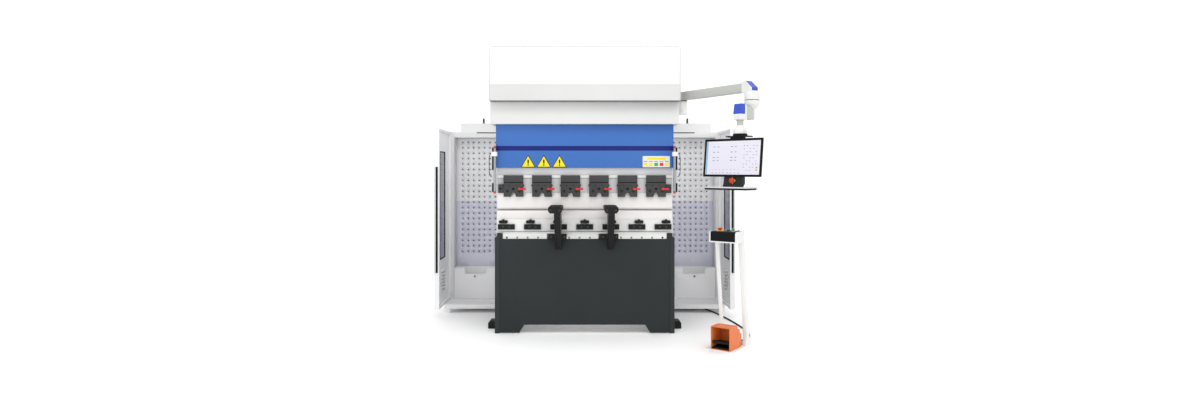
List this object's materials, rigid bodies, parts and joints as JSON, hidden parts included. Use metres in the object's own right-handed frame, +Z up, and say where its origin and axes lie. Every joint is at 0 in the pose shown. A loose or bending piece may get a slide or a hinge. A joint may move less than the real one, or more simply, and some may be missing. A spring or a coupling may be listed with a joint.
{
  "type": "press brake",
  "caption": "Sheet metal press brake with a closed ram and die, front supports, open tool cabinets, a swivelling control pendant and a pedal stand.",
  "frame": {"origin": "centre of the base on the floor, of the whole machine without its pedal cable", "axes": "+X to the operator's right, +Y from the operator towards the back gauge, +Z up"},
  "size_m": [2.29, 1.8762, 1.988],
  "materials": {
    "white_paint": "satin powder coat",
    "bed_paint": "satin powder coat, charcoal",
    "blue_paint": "satin powder coat, mid blue",
    "tool_steel": "ground bright tool steel",
    "clamp_grey": "dark phosphated steel",
    "black_steel": "near-black satin paint",
    "cast_grey": "grey painted barrel",
    "bright_steel": "hard chromed rod",
    "rail_aluminium": "natural anodised",
    "peg_steel": "light grey gloss paint, perforated",
    "arm_grey": "grey satin paint",
    "white_plastic": "white moulded cover",
    "black_plastic": "fine moulded texture",
    "red_plastic": "glossy red",
    "green_plastic": "glossy green",
    "orange_plastic": "orange textured powder coat",
    "pedal_rubber": "ribbed black rubber over steel",
    "cable_sheath": "black rubber sheath"
  },
  "bodies": {
    "root": {"bed_front_cover": "bed_paint", "table_beam": "white_paint", "lower_die": "tool_steel", "die_clamp_bar": "clamp_grey", "side_frame_right": "bed_paint", "side_frame_left": "bed_paint", "anchor_foot_right": "black_steel", "anchor_foot_left": "black_steel", "hood": "white_paint", "lower_cover": "white_paint", "top_cross_beam": "white_paint", "ram_cylinder_right": "cast_grey", "ram_cylinder_left": "cast_grey", "support_rail": "rail_aluminium", "tool_cabinet_right": "white_paint", "tool_cabinet_left": "white_paint", "pegboard_right": "peg_steel", "pegboard_left": "peg_steel", "pendant_bracket": "white_paint", "pedal_stand": "white_paint", "stand_box": "white_paint", "pedal_hood": "orange_plastic", "pedal_gland": "black_plastic", "machine_gland": "black_plastic", "pedal_cable": "cable_sheath"},
    "ram": {"ram_beam": "white_paint", "ram_front_cover": "blue_paint", "punch": "tool_steel", "light_guard_right": "black_plastic", "light_guard_left": "black_plastic", "piston_rod_right": "bright_steel", "piston_rod_left": "bright_steel", "punch_clamp_1": "clamp_grey", "punch_clamp_2": "clamp_grey", "punch_clamp_3": "clamp_grey", "punch_clamp_4": "clamp_grey", "punch_clamp_5": "clamp_grey", "punch_clamp_6": "clamp_grey"},
    "support_left": {"front_support_left": "black_steel"},
    "support_right": {"front_support_right": "black_steel"},
    "door_left": {"cabinet_door_left": "white_paint"},
    "door_right": {"cabinet_door_right": "white_paint"},
    "bin_left": {"cabinet_bin_left": "white_paint"},
    "bin_right": {"cabinet_bin_right": "white_paint"},
    "back_gauge": {"gauge_beam": "rail_aluminium"},
    "finger_left": {"gauge_finger_left": "clamp_grey"},
    "finger_right": {"gauge_finger_right": "clamp_grey"},
    "arm": {"pendant_arm": "arm_grey"},
    "link": {"pendant_link": "white_plastic"},
    "panel": {"monitor": "black_plastic"},
    "panel_stop": {"pendant_stop_button": "red_plastic"},
    "stand_stop": {"stand_stop_button": "red_plastic"},
    "stand_start": {"stand_start_button": "green_plastic"},
    "pedal": {"foot_pedal": "pedal_rubber"},
    "lever_1": {"clamp_lever_1": "red_plastic"},
    "lever_2": {"clamp_lever_2": "red_plastic"},
    "lever_3": {"clamp_lever_3": "red_plastic"},
    "lever_4": {"clamp_lever_4": "red_plastic"},
    "lever_5": {"clamp_lever_5": "red_plastic"},
    "lever_6": {"clamp_lever_6": "red_plastic"}
  },
  "joints": [
    {"name": "ram_slide", "type": "slide", "parent": "root", "child": "ram", "axis": [0, 0, 1], "range_m": [0, 0.14]},
    {"name": "support_left_slide", "type": "slide", "parent": "root", "child": "support_left", "axis": [1, 0, 0], "range_m": [-0.3, 0.1]},
    {"name": "support_right_slide", "type": "slide", "parent": "root", "child": "support_right", "axis": [1, 0, 0], "range_m": [-0.1, 0.3]},
    {"name": "door_left_hinge", "type": "hinge", "parent": "root", "child": "door_left", "pos_m": [-1.10715, 0.73712, 0.76], "axis": [0, 0, 1], "range_deg": [0, 90]},
    {"name": "door_right_hinge", "type": "hinge", "parent": "root", "child": "door_right", "pos_m": [1.10715, 0.73712, 0.76], "axis": [0, 0, -1], "range_deg": [0, 90]},
    {"name": "bin_left_slide", "type": "slide", "parent": "root", "child": "bin_left", "axis": [0, 1, 0], "range_m": [-0.15, 0]},
    {"name": "bin_right_slide", "type": "slide", "parent": "root", "child": "bin_right", "axis": [0, 1, 0], "range_m": [-0.15, 0]},
    {"name": "gauge_slide", "type": "slide", "parent": "root", "child": "back_gauge", "axis": [0, 1, 0], "range_m": [-0.16, 0.18]},
    {"name": "finger_left_slide", "type": "slide", "parent": "back_gauge", "child": "finger_left", "axis": [1, 0, 0], "range_m": [-0.24, 0.18]},
    {"name": "finger_right_slide", "type": "slide", "parent": "back_gauge", "child": "finger_right", "axis": [1, 0, 0], "range_m": [-0.18, 0.24]},
    {"name": "lever_1_turn", "type": "hinge", "parent": "ram", "child": "lever_1", "pos_m": [-0.455, -0.18788, 1.003], "axis": [0, 1, 0], "range_deg": [0, 90]},
    {"name": "lever_2_turn", "type": "hinge", "parent": "ram", "child": "lever_2", "pos_m": [-0.255, -0.18788, 1.003], "axis": [0, 1, 0], "range_deg": [0, 90]},
    {"name": "lever_3_turn", "type": "hinge", "parent": "ram", "child": "lever_3", "pos_m": [-0.055, -0.18788, 1.003], "axis": [0, 1, 0], "range_deg": [0, 90]},
    {"name": "lever_4_turn", "type": "hinge", "parent": "ram", "child": "lever_4", "pos_m": [0.145, -0.18788, 1.003], "axis": [0, 1, 0], "range_deg": [0, 90]},
    {"name": "lever_5_turn", "type": "hinge", "parent": "ram", "child": "lever_5", "pos_m": [0.345, -0.18788, 1.003], "axis": [0, 1, 0], "range_deg": [0, 90]},
    {"name": "lever_6_turn", "type": "hinge", "parent": "ram", "child": "lever_6", "pos_m": [0.545, -0.18788, 1.003], "axis": [0, 1, 0], "range_deg": [0, 90]},
    {"name": "arm_swing", "type": "hinge", "parent": "root", "child": "arm", "pos_m": [0.695, -0.10188, 1.659], "axis": [0, 0, 1], "range_deg": [-30, 70]},
    {"name": "link_swing", "type": "hinge", "parent": "arm", "child": "link", "pos_m": [1.054, -0.67088, 1.56], "axis": [0, 0, 1], "range_deg": [-90, 90]},
    {"name": "panel_swivel", "type": "hinge", "parent": "link", "child": "panel", "pos_m": [0.965, -0.73588, 1.413], "axis": [0, 0, 1], "range_deg": [-75, 75]},
    {"name": "panel_stop_press", "type": "slide", "parent": "panel", "child": "panel_stop", "axis": [0.7071, 0.7071, 0], "range_m": [0, 0.005]},
    {"name": "stand_stop_press", "type": "slide", "parent": "root", "child": "stand_stop", "axis": [0, 0, -1], "range_m": [0, 0.005]},
    {"name": "stand_start_press", "type": "slide", "parent": "root", "child": "stand_start", "axis": [0, 0, -1], "range_m": [0, 0.005], "stiffness_N_per_m": 600, "springref_m": -0.002},
    {"name": "pedal_press", "type": "hinge", "parent": "root", "child": "pedal", "pos_m": [0.93071, -0.58494, 0.029], "axis": [0.809, -0.5878, 0], "range_deg": [0, 8], "stiffness_Nm_per_rad": 8, "springref_deg": -8.59}
  ]
}
